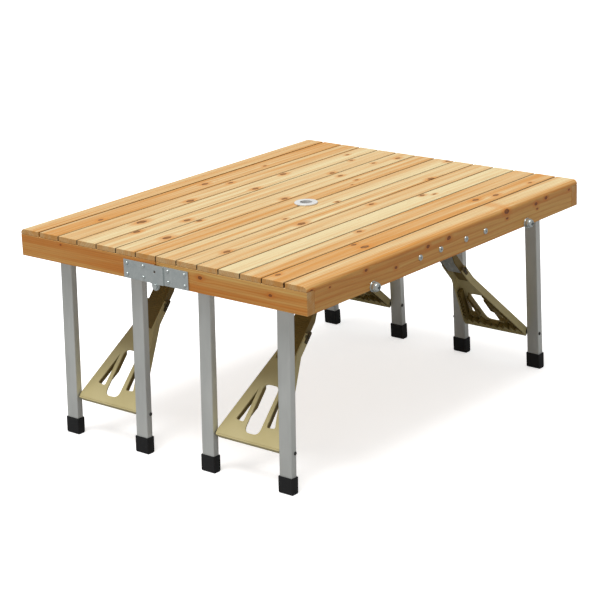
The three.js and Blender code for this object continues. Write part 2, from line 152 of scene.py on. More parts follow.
def knot_group():
    """A shader group for one knot: it bends the grain round the knot and measures how near the knot is."""
    group = bpy.data.node_groups.new("knot", "ShaderNodeTree")
    ports = group.interface
    ports.new_socket("Place", in_out="INPUT", socket_type="NodeSocketVector")
    ports.new_socket("Near", in_out="INPUT", socket_type="NodeSocketFloat")
    ports.new_socket("Centre", in_out="INPUT", socket_type="NodeSocketVector")
    ports.new_socket("Across", in_out="INPUT", socket_type="NodeSocketVector")
    ports.new_socket("Radius", in_out="INPUT", socket_type="NodeSocketFloat")
    ports.new_socket("Place", in_out="OUTPUT", socket_type="NodeSocketVector")
    ports.new_socket("Near", in_out="OUTPUT", socket_type="NodeSocketFloat")
    nodes = group.nodes
    links = group.links
    given = nodes.new("NodeGroupInput").outputs
    result = nodes.new("NodeGroupOutput").inputs

    def vector(operation, first, second=None, scale=None):
        node = nodes.new("ShaderNodeVectorMath")
        node.operation = operation
        links.new(first, node.inputs[0])
        if isinstance(second, tuple):
            node.inputs[1].default_value = second
        elif second is not None:
            links.new(second, node.inputs[1])
        if scale is not None:
            links.new(scale, node.inputs["Scale"])
        return node.outputs["Value" if operation == "LENGTH" else "Vector"]

    def number(operation, first, second=None):
        node = nodes.new("ShaderNodeMath")
        node.operation = operation
        links.new(first, node.inputs[0])
        if isinstance(second, float):
            node.inputs[1].default_value = second
        elif second is not None:
            links.new(second, node.inputs[1])
        return node.outputs[0]

    offset = vector("SUBTRACT", given["Place"], given["Centre"])
    sideways = vector("MULTIPLY", offset, given["Across"])
    flat = vector("ADD", vector("MULTIPLY", offset, (0.6, 0.0, 0.0)), sideways)
    far = number("DIVIDE", vector("LENGTH", flat), given["Radius"])
    stretched = vector("ADD", vector("MULTIPLY", offset, (0.3, 0.0, 0.0)), sideways)
    reach = number("DIVIDE", vector("LENGTH", stretched), given["Radius"])
    squared = number("MULTIPLY", reach, reach)
    pull = number("EXPONENT", number("MULTIPLY", squared, -0.22))
    push = number("MULTIPLY", pull, -0.88)
    links.new(vector("ADD", given["Place"], vector("SCALE", sideways, scale=push)), result["Place"])
    links.new(number("MINIMUM", given["Near"], far), result["Near"])
    return group


KNOT = knot_group()

PALE = srgb(250, 233, 182)
WARM = srgb(228, 162, 78)
LATEWOOD = srgb(206, 132, 52)
# Painted shade: the rails' upright faces are multiplied by this warm, darker colour.
RAIL_SIDE_PAINTED_SHADE = srgb(226, 182, 66)
KNOT_HEART = srgb(156, 100, 32)
KNOT_EDGE = srgb(96, 52, 12)
KNOT_HALO = srgb(222, 142, 48)
END_GRAIN = srgb(192, 134, 64)
# Painted shade: the dark brown laid over the board sides that face the gaps.
GAP_PAINTED_SHADE = srgb(52, 30, 12)


def pine(name, warmth, knots, centre, upright=False, turned=False):
    """Varnished pine with its grain along X, or along Y where turned is true, with painted shade on its side
    faces.

    knots are (along, across, radius) in millimetres, where across is z on an upright rail.
    centre is the middle of the section, across and up, in metres: the heart of the tree is placed from it.
    """
    dice = random.Random(name)
    finish = Finish(name)
    place = finish.place()
    if turned:
        x, y, z = finish.split(place)
        place = finish.add("ShaderNodeCombineXYZ", {0: y, 1: x, 2: z}).outputs[0]
    bent = place
    near = 99.0
    for x, across, radius in knots:
        spot = (x * MM, 0, across * MM) if upright else (x * MM, across * MM, 0)
        inputs = {
            "Place": bent,
            "Near": near,
            "Centre": spot,
            "Across": (0, 0, 1) if upright else (0, 1, 0),
            "Radius": radius * MM,
        }
        bend = finish.tree.nodes.new("ShaderNodeGroup")
        bend.node_tree = KNOT
        for key, value in inputs.items():
            finish.feed(bend.inputs[key], value)
        bent = bend.outputs["Place"]
        near = bend.outputs["Near"]

    shift = [dice.uniform(-9, 9) for _ in range(3)]
    rings = growth_rings(finish, bent, dice, centre, upright, shift)
    streaks = finish.noise(finish.scaled(bent, (1.4, 70, 70), shift), detail=3.0, roughness=0.6)
    fibres = finish.noise(finish.scaled(bent, (14, 900, 900), shift), detail=3.0, roughness=0.7)
    flecks = finish.noise(finish.scaled(bent, (38, 420, 420), shift), detail=1.0)

    tone = finish.math("MULTIPLY_ADD", finish.math("SUBTRACT", streaks, 0.5), 2.5, warmth)
    tone = finish.math("MULTIPLY_ADD", rings, 0.2, tone)
    tone = finish.add("ShaderNodeClamp", {0: tone}).outputs[0]
    colour = finish.mix(tone, PALE, WARM)
    colour = finish.mix(finish.math("MULTIPLY", rings, 0.3), colour, LATEWOOD)
    fibre_shade = finish.ramp(fibres, [(0.3, (0.84, 0.81, 0.75, 1)), (0.62, (1.0, 1.0, 1.0, 1))])
    colour = finish.mix(1.0, colour, fibre_shade, "MULTIPLY")
    fleck_share = finish.math("MULTIPLY", finish.spread(flecks, 0.71, 0.78), 0.45)
    colour = finish.mix(fleck_share, colour, KNOT_HALO)

    if knots:
        ragged = finish.noise(place, scale=260, detail=2.0)
        near = finish.math("MULTIPLY_ADD", finish.math("SUBTRACT", ragged, 0.5), 0.7, near)
        halo = finish.math("MULTIPLY", finish.spread(near, 3.0, 1.0), 0.75)
        colour = finish.mix(halo, colour, KNOT_HALO)
        heart = finish.ramp(near, [(0.0, KNOT_HEART), (0.55, KNOT_HEART), (0.85, KNOT_EDGE)])
        colour = finish.mix(finish.spread(near, 1.12, 0.8), colour, heart)

    normal = finish.split(finish.add("ShaderNodeNewGeometry", {}).outputs["Normal"])
    end_face = finish.spread(finish.math("ABSOLUTE", normal[1 if turned else 0]), 0.6, 0.9)
    colour = finish.mix(end_face, colour, finish.mix(0.62, colour, END_GRAIN))
    # Painted shade on the side faces: upright rails get a warm, darker multiply, and the boards' sides
    # facing the gaps are mixed almost to dark brown.
    painted_side_shade_mask = finish.spread(finish.math("ABSOLUTE", normal[0 if turned else 1]), 0.45, 0.95)
    painted_side_shade_tint, painted_side_shade_share = (RAIL_SIDE_PAINTED_SHADE, 0.72) if upright else (GAP_PAINTED_SHADE, 0.9)
    painted_side_shade_colour = finish.mix(painted_side_shade_share, colour, painted_side_shade_tint, "MULTIPLY" if upright else "MIX")
    colour = finish.mix(painted_side_shade_mask, colour, painted_side_shade_colour)

    dents = finish.math("MULTIPLY_ADD", rings, 0.25, fibres)
    finish.surface(
        Base_Color=colour,
        Roughness=finish.between(fibres, 0.38, 0.58),
        Specular_IOR_Level=0.4,
        Coat_Weight=0.12,
        Coat_Roughness=0.32,
    )
    finish.bump(dents, 0.00022, 0.8)
    return finish.material


def growth_rings(finish, bent, dice, centre, upright, shift):
    """Rings round a heart that lies below the face and drifts along the board: 0 early wood, 1 late wood."""
    aside = dice.choice((-1, 1)) * dice.uniform(0.03, 0.12)
    below = dice.uniform(0.02, 0.07)
    heart_y = centre[0] + (below * math.copysign(1, -centre[0]) if upright else aside)
    heart_z = centre[1] + (aside if upright else -below)
    drift_y = dice.uniform(-0.014, 0.014)
    drift_z = dice.uniform(-0.014, 0.014)
    spacing = dice.uniform(0.003, 0.0052)
    x, y, z = finish.split(bent)
    waves = finish.scaled(bent, (3.2, 11, 11), shift)
    wander = finish.math("SUBTRACT", finish.noise(waves, detail=1.5), 0.5)
    y = finish.math("MULTIPLY_ADD", x, drift_y, finish.math("SUBTRACT", y, heart_y))
    y = finish.math("MULTIPLY_ADD", wander, 0.011, y)
    z = finish.math("MULTIPLY_ADD", x, drift_z, finish.math("SUBTRACT", z, heart_z))
    squares = finish.math("ADD", finish.math("POWER", y, 2.0), finish.math("POWER", z, 2.0))
    turns = finish.math("FRACT", finish.math("DIVIDE", finish.math("SQRT", squares), spacing))
    grey = finish.ramp(turns, [
        (0.0, (0, 0, 0, 1)),
        (0.5, (0.1, 0.1, 0.1, 1)),
        (0.86, (1, 1, 1, 1)),
        (1.0, (0, 0, 0, 1)),
    ])
    return finish.split(grey)[0]


def aluminium():
    """Satin anodised tube, drawn along Z."""
    finish = Finish("aluminium_tube")
    place = finish.place()
    lines = finish.noise(finish.scaled(place, (1900, 1900, 9)), detail=3.0)
    clouds = finish.noise(finish.scaled(place, (30, 30, 9)), detail=3.0)
    finish.surface(
        Base_Color=finish.ramp(clouds, [(0.3, srgb(204, 206, 202)), (0.7, srgb(220, 222, 218))]),
        Metallic=0.7,
        Roughness=finish.between(lines, 0.4, 0.56),
    )
    finish.bump(lines, 0.00004, 0.6)
    return finish.material


def zinc():
    """Zinc-plated steel with a faint spangle."""
    finish = Finish("zinc_steel")
    place = finish.place()
    cells = finish.add("ShaderNodeTexVoronoi", {"Vector": place, "Scale": 420.0}).outputs["Color"]
    clouds = finish.noise(place, scale=60, detail=4.0)
    spangle = finish.math("MULTIPLY_ADD", finish.split(cells)[0], 0.2, finish.math("MULTIPLY", clouds, 0.8))
    finish.surface(
        Base_Color=finish.ramp(spangle, [(0.25, srgb(186, 194, 194)), (0.7, srgb(206, 212, 210))]),
        Metallic=0.8,
        Roughness=finish.between(spangle, 0.26, 0.4),
    )
    finish.bump(clouds, 0.00005, 0.5)
    return finish.material


def moulded(name, colour, deep, roughness):
    """Moulded plastic or rubber: a fine skin, slow colour drift and a few rub marks."""
    finish = Finish(name)
    place = finish.place()
    skin = finish.noise(place, scale=1400, detail=2.0)
    drift = finish.noise(place, scale=14, detail=3.0)
    rubs = finish.noise(finish.scaled(place, (45, 160, 45)), detail=4.0, roughness=0.7)
    body = finish.ramp(drift, [(0.3, deep), (0.7, colour)])
    finish.surface(
        Base_Color=finish.mix(finish.math("MULTIPLY", finish.spread(rubs, 0.6, 0.75), 0.18), body, colour),
        Roughness=finish.between(rubs, roughness - 0.07, roughness + 0.07),
        Specular_IOR_Level=0.4,
    )
    finish.bump(skin, 0.00005, 0.6)
    return finish.material


# ---------------------------------------------------------------- wood

# How warm each board's colour is, from the fold line outwards: 0 is pale and 1 is orange.
WARMTH = {
    "rear": (0.62, 0.36, 0.36, 0.22, 0.56, 0.74),
    "front": (0.26, 0.44, 0.5, 0.04, 0.5, 0.76),
}
EDGE_WARMTH = 0.55
END_WARMTH = 0.7
INNER_WARMTH = 0.4
BATTEN_WARMTH = 0.3

# Knots as (along, across, radius) in millimetres; on the rails, across is the height above the floor.
KNOTS = {
    "rear_board_1": [(195, 28, 3), (160, 12, 2)],
    "rear_board_2": [(-325, 64, 6), (-205, 92, 4), (5, 58, 5), (205, 77, 4), (325, 84, 3), (385, 66, 4)],
    "rear_board_3": [(-215, 114, 5), (-325, 140, 5), (215, 106, 4), (320, 138, 3)],
    "rear_board_4": [(-270, 180, 7), (35, 158, 5), (155, 186, 5), (355, 176, 3)],
    "rear_board_5": [(-105, 206, 6), (45, 232, 4)],
    "rear_board_6": [(-300, 258, 4), (10, 270, 5), (190, 264, 3)],
    "front_board_1": [(-110, -38, 3), (40, -44, 3), (420, -38, 5)],
    "front_board_2": [(-120, -86, 6), (-335, -90, 5), (280, -94, 5)],
    "front_board_3": [(60, -112, 4)],
    "front_board_4": [(165, -156, 4), (185, -170, 3)],
    "front_board_5": [(-105, -210, 4)],
    "front_board_6": [
        (-395, -258, 4), (-180, -255, 4), (-180, -280, 6),
        (190, -264, 5), (240, -276, 5), (355, -280, 3),
    ],
}
END_KNOTS = {
    "rear_end_rail_left": [(240, 384, 1.5)],
    "front_end_rail_left": [(-105, 377, 3), (-265, 372, 2.5)],
    "rear_end_rail_right": [(150, 366, 2.5)],
    "front_end_rail_right": [(-60, 372, 2)],
}
SIDE_KNOTS = [
    (-412, 390, 2.5), (-414, 381, 2.5), (-363, 384, 1.5), (-262, 388, 2.5), (-176, 371, 2.5),
    (-79, 386, 3), (-14, 386, 3.5), (175, 392, 4.5), (176, 380, 2.5),
    (276, 384, 3), (280, 374, 2), (311, 388, 3), (394, 386, 2),
]


# Heights between which scattered knots lie on the rails, in millimetres.
RAIL_KNOTS_LOW = 352
EDGE_KNOTS_HIGH = 394
INNER_KNOTS_HIGH = 385

# Widths of the softened edges, in metres.
BOARD_EDGE = 0.0009
INNER_EDGE = 0.001
END_RAIL_EDGE = 0.0011
TUBE_EDGE = 0.0004
FOOT_EDGE = 0.0015
STEEL_EDGE = 0.0005
GROMMET_EDGE = 0.0006
PANEL_SOFTNESS = 0.0005
CATCH_SOFTNESS = 0.0004
ARM_SOFTNESS = 0.0003


def spare_knots(name, count, low, high):
    """Small knots scattered along a piece that has none of its own listed."""
    dice = random.Random(name + "_knots")
    knots = []
    for _ in range(count):
        along = dice.uniform(-400, 400)
        across = dice.uniform(low, high)
        radius = dice.uniform(1.5, 3.5)
        knots.append((along, across, radius))
    return knots


def soften(node, width):
    """Rounds a CAD node's edges: its facets are first welded into whole faces."""
    piece = frame["nodes"][node]
    mesh = piece.data
    mesh.attributes.remove(mesh.attributes["custom_normal"])
    mesh.shade_smooth()
    weld = piece.modifiers.new("weld", "WELD")
    weld.merge_threshold = 0.00001
    flatten = piece.modifiers.new("flatten", "DECIMATE")
    flatten.decimate_type = "DISSOLVE"
    flatten.angle_limit = math.radians(0.5)
    add_bevel(piece, width)
    return piece


def add_bevel(piece, width):
    """Rounds every edge that turns by more than 35 degrees."""
    bevel = piece.modifiers.new("bevel", "BEVEL")
    bevel.width = width
    bevel.segments = 2
    bevel.limit_method = "ANGLE"
    bevel.angle_limit = math.radians(35)
    bevel.harden_normals = True


def finish_node(node, material, width):
    """Softens a CAD node's edges by width and gives it its only material."""
    piece = soften(node, width)
    piece.data.materials.clear()
    piece.data.materials.append(material)


def centre_of(node):
    """The middle of a node's section in Y and Z, in metres."""
    low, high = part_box(node)
    middle = (low + high) / 2
    return (middle.y, middle.z)


def dress_wood():
    """Gives every wooden piece its own pine; the pieces that are hidden get scattered knots, or none."""
    for half in HALVES:
        for index in BOARDS:
            name = f"{half}_board_{index}"
            material = pine(name, WARMTH[half][index - 1], KNOTS[name], centre_of(name))
            finish_node(name, material, BOARD_EDGE)
        name = f"{half}_edge_rail"
        knots = SIDE_KNOTS if half == "front" else spare_knots(name, 9, RAIL_KNOTS_LOW, EDGE_KNOTS_HIGH)
        finish_node(name, pine(name, EDGE_WARMTH, knots, centre_of(name), upright=True), BOARD_EDGE)
        name = f"{half}_inner_rail"
        knots = spare_knots(name, 3, RAIL_KNOTS_LOW, INNER_KNOTS_HIGH)
        finish_node(name, pine(name, INNER_WARMTH, knots, centre_of(name), upright=True), INNER_EDGE)
        name = f"{half}_centre_batten"
        finish_node(name, pine(name, BATTEN_WARMTH, [], (0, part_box(name)[0].z), turned=True), INNER_EDGE)
        for end in ENDS:
            name = f"{half}_end_rail_{end}"
            finish_node(name, end_pine(name), END_RAIL_EDGE)


def end_pine(name):
    """Pine for an end rail, with its grain along Y."""
    low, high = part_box(name)
    middle = (low + high) / 2
    return pine(name, END_WARMTH, END_KNOTS[name], (middle.x, middle.z), upright=True, turned=True)


# ---------------------------------------------------------------- shapes

def facing(point, direction):
    """A frame at point whose Z axis runs along direction."""
    return Matrix.Translation(point) @ Vector(direction).to_track_quat("Z", "Y").to_matrix().to_4x4()


def rounded(corners, radius, steps=4):
    """The closed outline with each corner replaced by a curve about radius wide."""
    points = []
    for index, corner in enumerate(corners):
        before = Vector(corners[index - 1]) - Vector(corner)
        after = Vector(corners[(index + 1) % len(corners)]) - Vector(corner)
        reach = min(radius, before.length * 0.48, after.length * 0.48)
        start = Vector(corner) + before.normalized() * reach
        end = Vector(corner) + after.normalized() * reach
        for step in range(steps + 1):
            share = step / steps
            first = start.lerp(Vector(corner), share)
            points.append(first.lerp(Vector(corner).lerp(end, share), share))
    return points


def grown(points, distance):
    """The closed outline moved outwards by distance; the points run anticlockwise."""
    moved = []
    for index, point in enumerate(points):
        into = (Vector(point) - Vector(points[index - 1])).normalized()
        away = (Vector(points[(index + 1) % len(points)]) - Vector(point)).normalized()
        normal = Vector((into.y + away.y, -into.x - away.x)).normalized()
        moved.append(Vector(point) + normal * distance / max(0.4, normal.dot(Vector((into.y, -into.x)))))
    return moved


class Shape:
    """Closed solids gathered into one mesh, drawn in millimetres in a frame of their own."""

    def __init__(self, place=Matrix()):
        self.mesh = bmesh.new()
        self.place = place

    def plate(self, edge, low, high, holes=()):
        """A plate between the levels low and high, with edge as its outline."""
        edges = []
        for loop in (edge, *holes):
            ring = [self.mesh.verts.new((x, y, low)) for x, y in loop]
            edges += [self.mesh.edges.new(pair) for pair in zip(ring, ring[1:] + ring[:1])]
        filled = bmesh.ops.triangle_fill(self.mesh, edges=edges, use_beauty=True)["geom"]
        faces = [item for item in filled if isinstance(item, bmesh.types.BMFace)]
        raised = bmesh.ops.extrude_face_region(self.mesh, geom=faces, use_keep_orig=True)["geom"]
        points = [item for item in raised if isinstance(item, bmesh.types.BMVert)]
        bmesh.ops.translate(self.mesh, verts=points, vec=(0, 0, high - low))

    def rib(self, start, end, thickness, low, high):
        """An upright wall from start to end, between the levels low and high."""
        start = Vector(start)
        end = Vector(end)
        along = (end - start).normalized()
        aside = Vector((-along.y, along.x)) * thickness / 2
        self.plate([start - aside, end - aside, end + aside, start + aside], low, high)

    def rod(self, radius, start, end, segments=24):
        """A round rod between two points."""
        start = Vector(start)
        end = Vector(end)
        frame_there = facing((start + end) / 2, end - start)
        bmesh.ops.create_cone(
            self.mesh, cap_ends=True, segments=segments, radius1=radius, radius2=radius,
            depth=(end - start).length, matrix=frame_there,
        )

    def wall(self, profile, near, far):
        """A solid whose outline lies in the X-Z plane, reaching in Y from near to far."""
        sheet = Shape()
        sheet.plate(profile, min(-near, -far), max(-near, -far))
        bmesh.ops.transform(sheet.mesh, matrix=Matrix.Rotation(math.pi / 2, 4, "X"), verts=sheet.mesh.verts)
        self.take(sheet)

    def take(self, other):
        """Adds the solids of another shape to this one."""
        mesh = bpy.data.meshes.new("taken")
        other.mesh.to_mesh(mesh)
        other.mesh.free()
        self.mesh.from_mesh(mesh)
        bpy.data.meshes.remove(mesh)

    def turn(self, profile, place=Matrix(), segments=32):
        """The closed profile of (radius, height) pairs turned round the Z axis of place."""
        rings = []
        for radius, height in profile:
            spokes = segments if radius > 0 else 1
            angles = [2 * math.pi * step / spokes for step in range(spokes)]
            spots = [(radius * math.cos(angle), radius * math.sin(angle), height) for angle in angles]
            rings.append([self.mesh.verts.new(place @ Vector(spot)) for spot in spots])
        for near, far in zip(rings, rings[1:] + rings[:1]):
            if len(near) == 1 and len(far) == 1:
                continue
            for step in range(segments):
                following = (step + 1) % segments
                corners = [near[step % len(near)], near[following % len(near)]]
                corners += [far[following % len(far)], far[step % len(far)]]
                self.mesh.faces.new(list(dict.fromkeys(corners)))

    def screw_head(self, radius, height, place):
        """A domed head with a cross recess, standing on the X-Y plane of place."""
        rings = 12
        spokes = 48
        slot = radius * 0.13
        reach = radius * 0.56
        bulge = 0.86
        sunk_level = height * 0.2
        rim_level = height * 0.374
        centre = self.mesh.verts.new(place @ Vector((0, 0, sunk_level)))
        inner = [centre] * spokes
        for ring in range(1, rings + 1):
            distance = radius * ring / rings
            dome_level = height * math.sqrt(1.0 - (distance / radius) ** 2 * bulge)
            outer = []
            for step in range(spokes):
                angle = 2 * math.pi * step / spokes
                x = distance * math.cos(angle)
                y = distance * math.sin(angle)
                sunk = distance < reach and min(abs(x), abs(y)) < slot
                level = sunk_level if sunk else dome_level
                outer.append(self.mesh.verts.new(place @ Vector((x, y, level))))
            self.join_rings(inner, outer)
            inner = outer
        drop = place.to_3x3() @ Vector((0, 0, rim_level))
        foot = [self.mesh.verts.new(vertex.co - drop) for vertex in inner]
        self.join_rings(inner, foot)
        self.mesh.faces.new(foot)

    def cross(self, reach, width, place):
        """A thin cross lying on the X-Y plane of place."""
        half = width / 2
        corners = [
            (half, half), (half, reach), (-half, reach),
            (-half, half), (-reach, half), (-reach, -half),
        ]
        corners += [(-x, -y) for x, y in corners]
        sheet = Shape()
        sheet.plate(corners, 0, 0.3)
        bmesh.ops.transform(sheet.mesh, matrix=place, verts=sheet.mesh.verts)
        self.take(sheet)

    def join_rings(self, inner, outer):
        """Faces between two rings of points; the inner one may be a single point, repeated."""
        count = len(outer)
        for step in range(count):
            following = (step + 1) % count
            corners = [inner[step], inner[following], outer[following], outer[step]]
            self.mesh.faces.new(list(dict.fromkeys(corners)))

    def make(self, name, material, body, bevel=0.0, stands_for=()):
        """Makes the piece, in metres on the table, moving with body."""
        mesh = bpy.data.meshes.new(name)
        bmesh.ops.recalc_face_normals(self.mesh, faces=self.mesh.faces)
        self.mesh.to_mesh(mesh)
        self.mesh.free()
        mesh.transform(Matrix.Scale(MM, 4))
        mesh.materials.append(material)
        mesh.shade_smooth()
        piece = bpy.data.objects.new(name, mesh)
        piece.matrix_world = self.place
        bpy.context.scene.collection.objects.link(piece)
        if bevel:
            add_bevel(piece, bevel)
        else:
            mesh.set_sharp_from_angle(angle=math.radians(38))
        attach(piece, body)
        if stands_for:
            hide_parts(*stands_for)
        return piece


# ---------------------------------------------------------------- braces

# Levels and stations in the brace's own frames, in millimetres. Stations run along the brace: from the
# brace pin on the panel, and from the pivot under the boards on the arm.
SKIN = (-5.5, -3.0)
RIM_TOP = 9.0
RIM = 2.5
SLOT_RIM = 2.0
SLOT_RIM_TOP = 4.5
RIB_FOOT = SKIN[1] - 0.2
RIB_TOP = 8.0
PANEL_HALF_WIDTH = 75.0
PANEL_BASE = -5.5
PANEL_SHOULDER = 6.0
PANEL_KINK = 176.0
FORK_START = 160.0
FORK_HALF_GAP = 20.3
HORN_HALF_WIDTH = 23.3
BARREL_RADIUS = 5.5
LEG_OUTER_FACE = 105.0
ARM_HALF_WIDTH = 19.5
ARM_NECK_HALF_WIDTH = 16.0
ARM_NECK = 119.0
ARM_SHOULDER = 128.0
ARM_TAIL = 53.4
ARM_NECK_RIM_TOP = 2.4
FOLDED_REACH = 34.0
RIB_THICKNESS = 1.3
RIB_OVERLAP = 0.2


class Brace:
    """The frames of one folding brace's panel and arm, and their lengths in millimetres."""

    def __init__(self, name):
        pin = joint_place(f"{name}_panel_hinge")
        pivot = joint_place(f"{name}_arm_hinge")
        along = (pivot - pin).normalized()
        side = math.copysign(1, pin.x)
        inward = Vector((-side * along.z, 0, side * along.x))
        across = inward.cross(along)
        reach = (pivot - pin).length / MM
        self.name = name
        self.panel_frame = frame_of(along, across, inward, pin)
        self.arm_frame = frame_of(-along, across, -inward, pivot)
        self.panel_length = (reach + FOLDED_REACH) / 2
        self.arm_length = (reach - FOLDED_REACH) / 2


def frame_of(x_axis, y_axis, z_axis, origin):
    """The matrix of a frame with these axes at origin."""
    return Matrix.Translation(origin) @ Matrix((x_axis, y_axis, z_axis)).transposed().to_4x4()


def mirrored(points, side):
    """The outline on the chosen side of the middle line, kept anticlockwise."""
    flipped = [(x, side * y) for x, y in points]
    return flipped if side > 0 else flipped[::-1]


def flare(station):
    """Half the panel's width at a station between its shoulder and its kink."""
    share = (station - PANEL_SHOULDER) / (PANEL_KINK - PANEL_SHOULDER)
    return PANEL_HALF_WIDTH + (HORN_HALF_WIDTH - PANEL_HALF_WIDTH) * share


def panel_edge(brace):
    """The outline of the panel, with the fork that the arm turns in."""
    tip = brace.panel_length + BARREL_RADIUS
    upper = [
        (tip, HORN_HALF_WIDTH),
        (PANEL_KINK, HORN_HALF_WIDTH),
        (PANEL_SHOULDER, PANEL_HALF_WIDTH),
        (PANEL_BASE, PANEL_HALF_WIDTH - 0.5),
    ]
    lower = [(x, -y) for x, y in reversed(upper)]
    fork = [
        (tip, -FORK_HALF_GAP),
        (FORK_START, -FORK_HALF_GAP),
        (FORK_START, FORK_HALF_GAP),
        (tip, FORK_HALF_GAP),
    ]
    return rounded(upper, 3) + rounded(lower, 3) + fork


def middle_slot():
    """The wide slot along the middle of the panel."""
    return rounded([(12, -17), (109, -18), (109, 18), (12, 17)], 13, steps=6)


def side_slot(side):
    """The narrowing slot between the middle slot and a flared edge."""
    return rounded(mirrored([(30, 27), (40, 26.8), (98, 25.4), (46, 41), (32, 46)], side), 4, steps=4)


def brace_panel(brace, material, shaded):
    """The flared panel between the legs: a smooth face outside, rims and a lattice of ribs inside. The slot
    rims and ribs are a separate piece in a darker copy of the khaki, which paints the shade inside the
    panel.
    """
    shape = Shape(brace.panel_frame)
    shape.plate(panel_edge(brace), *SKIN, holes=[middle_slot(), side_slot(1), side_slot(-1)])
    shape.rod(BARREL_RADIUS, (0, -PANEL_HALF_WIDTH, 0), (0, PANEL_HALF_WIDTH, 0))
    rim_face = PANEL_BASE + RIM
    base_rim = [(PANEL_BASE, SKIN[0]), (rim_face, SKIN[0]), (rim_face, RIM_TOP), (PANEL_BASE, RIM_TOP)]
    shape.wall(base_rim, 1 - PANEL_HALF_WIDTH, PANEL_HALF_WIDTH - 1)
    # The ribs and slot rims take the darker khaki, which is painted shade.
    ribs = Shape(brace.panel_frame)
    for side in (1, -1):
        edge_wall(shape, brace, side)
        shape.rod(BARREL_RADIUS, (brace.panel_length, FORK_HALF_GAP * side, 0),
                  (brace.panel_length, HORN_HALF_WIDTH * side, 0))
        slot_walls(ribs, side)
        lattice(ribs, side)
    ribs.rib((11, -12), (11, 12), SLOT_RIM, RIB_FOOT, SLOT_RIM_TOP)
    base_ribs(ribs)
    body = f"{brace.name}_panel"
    shape.make(f"{brace.name}_brace_panel_moulding", material, body,
               bevel=PANEL_SOFTNESS, stands_for=[f"{brace.name}_brace_panel"])
    ribs.make(f"{brace.name}_brace_panel_ribs", shaded, body)


def edge_wall(shape, brace, side):
    """The deep rim along one flared edge and its horn."""
    tip = brace.panel_length + BARREL_RADIUS
    outer = [
        (PANEL_BASE, PANEL_HALF_WIDTH - 0.5),
        (PANEL_SHOULDER, PANEL_HALF_WIDTH),
        (PANEL_KINK, HORN_HALF_WIDTH),
        (tip, HORN_HALF_WIDTH),
    ]
    within = [
        (tip, FORK_HALF_GAP),
        (PANEL_KINK - 2, FORK_HALF_GAP),
        (PANEL_SHOULDER, PANEL_HALF_WIDTH - RIM),
        (PANEL_BASE, PANEL_HALF_WIDTH - RIM),
    ]
    shape.plate(mirrored(outer[::-1] + within[::-1], side), RIB_FOOT, RIM_TOP)


def slot_walls(shape, side):
    """Rims round the slots, with a gap beside the middle slot where the folded arm's rod lies."""
    shape.plate(grown(side_slot(side), SLOT_RIM), RIB_FOOT, SLOT_RIM_TOP, holes=[side_slot(side)])
    slot_half_width = 17.4
    near = slot_half_width * side
    far = (slot_half_width + SLOT_RIM) * side
    shape.wall([(42, RIB_FOOT), (112, RIB_FOOT), (102, SLOT_RIM_TOP), (64, SLOT_RIM_TOP)], near, far)


def lattice(shape, side):
    """Zigzag ribs behind the flared edge, and the long rib that they lean on."""
    depth = 13
    pitch = 13
    cells = 8
    first = 22
    last = first + cells * pitch
    long_rib_start = (first, side * (flare(first) - depth))
    long_rib_end = (last, side * (flare(last) - depth))
    shape.rib(long_rib_start, long_rib_end, 1.4, RIB_FOOT, RIB_TOP)
    for step in range(cells):
        start = first + step * pitch
        middle = start + pitch / 2
        near = side * (flare(start) - depth)
        far = side * (flare(middle) - RIM / 2)
        onward = side * (flare(start + pitch) - depth)
        shape.rib((start, near), (middle, far), RIB_THICKNESS, RIB_FOOT, RIB_TOP)
        shape.rib((middle, far), (start + pitch, onward), RIB_THICKNESS, RIB_FOOT, RIB_TOP)


def base_ribs(shape):
    """Zigzag ribs between the base of the panel and its slots."""
    pitch = 15
    base = 4
    short_head = 10
    tall_head = 20
    middle_slot_reach = 19
    for step in range(-4, 5):
        middle = step * pitch
        head = tall_head if abs(middle) > middle_slot_reach else short_head
        for foot in (middle - pitch / 2, middle + pitch / 2):
            shape.rib((base, foot), (head, middle), RIB_THICKNESS, RIB_FOOT, RIB_TOP)


def brace_pins(brace, steel):
    """The rivets that hang the panel between the legs, each with a washer beside the panel."""
    shape = Shape(brace.panel_frame)
    radius = 1.9
    head = [(0, 0), (3.6, 0), (3.6, 0.5), (2.9, 1.2), (1.6, 1.6), (0, 1.7)]
    washer = [(1.95, 0), (4.6, 0), (4.6, 0.9), (1.95, 0.9)]
    inner_end = PANEL_HALF_WIDTH - 3
    outer_end = LEG_OUTER_FACE + 0.5
    head_foot = LEG_OUTER_FACE + 0.15
    washer_foot = PANEL_HALF_WIDTH + 0.6
    for side in (1, -1):
        shape.rod(radius, (0, side * inner_end, 0), (0, side * outer_end, 0), 16)
        shape.turn(head, facing((0, side * head_foot, 0), (0, side, 0)), 20)
        shape.turn(washer, facing((0, side * washer_foot, 0), (0, side, 0)), 20)
    shape.make(f"{brace.name}_brace_rivets", steel, f"{brace.name}_panel")


def brace_catch(brace, dark, steel):
    """A catch on the outside of each horn, with a stud where the knuckle turns; its dark olive is partly the
    catch's own colour and partly painted shade.
    """
    catch = Shape(brace.panel_frame)
    studs = Shape(brace.panel_frame)
    knuckle = brace.panel_length
    half_length = 12
    thickness = 1.8
    stud_level = 4
    block = rounded([
        (knuckle - half_length, -1),
        (knuckle + half_length, 1),
        (knuckle + half_length, 7),
        (knuckle - half_length, 7),
    ], 2.5)
    stud = [(0, 0), (2.2, 0), (2.2, 0.7), (1.4, 1.2), (0, 1.4)]
    body = f"{brace.name}_panel"
    for side in (1, -1):
        face = (HORN_HALF_WIDTH + thickness) * side
        catch.wall(block, HORN_HALF_WIDTH * side, face)
        studs.turn(stud, facing((knuckle, face, stud_level), (0, side, 0)), 18)
    catch.make(f"{brace.name}_brace_catch", dark, body, bevel=CATCH_SOFTNESS)
    studs.make(f"{brace.name}_brace_studs", steel, body)


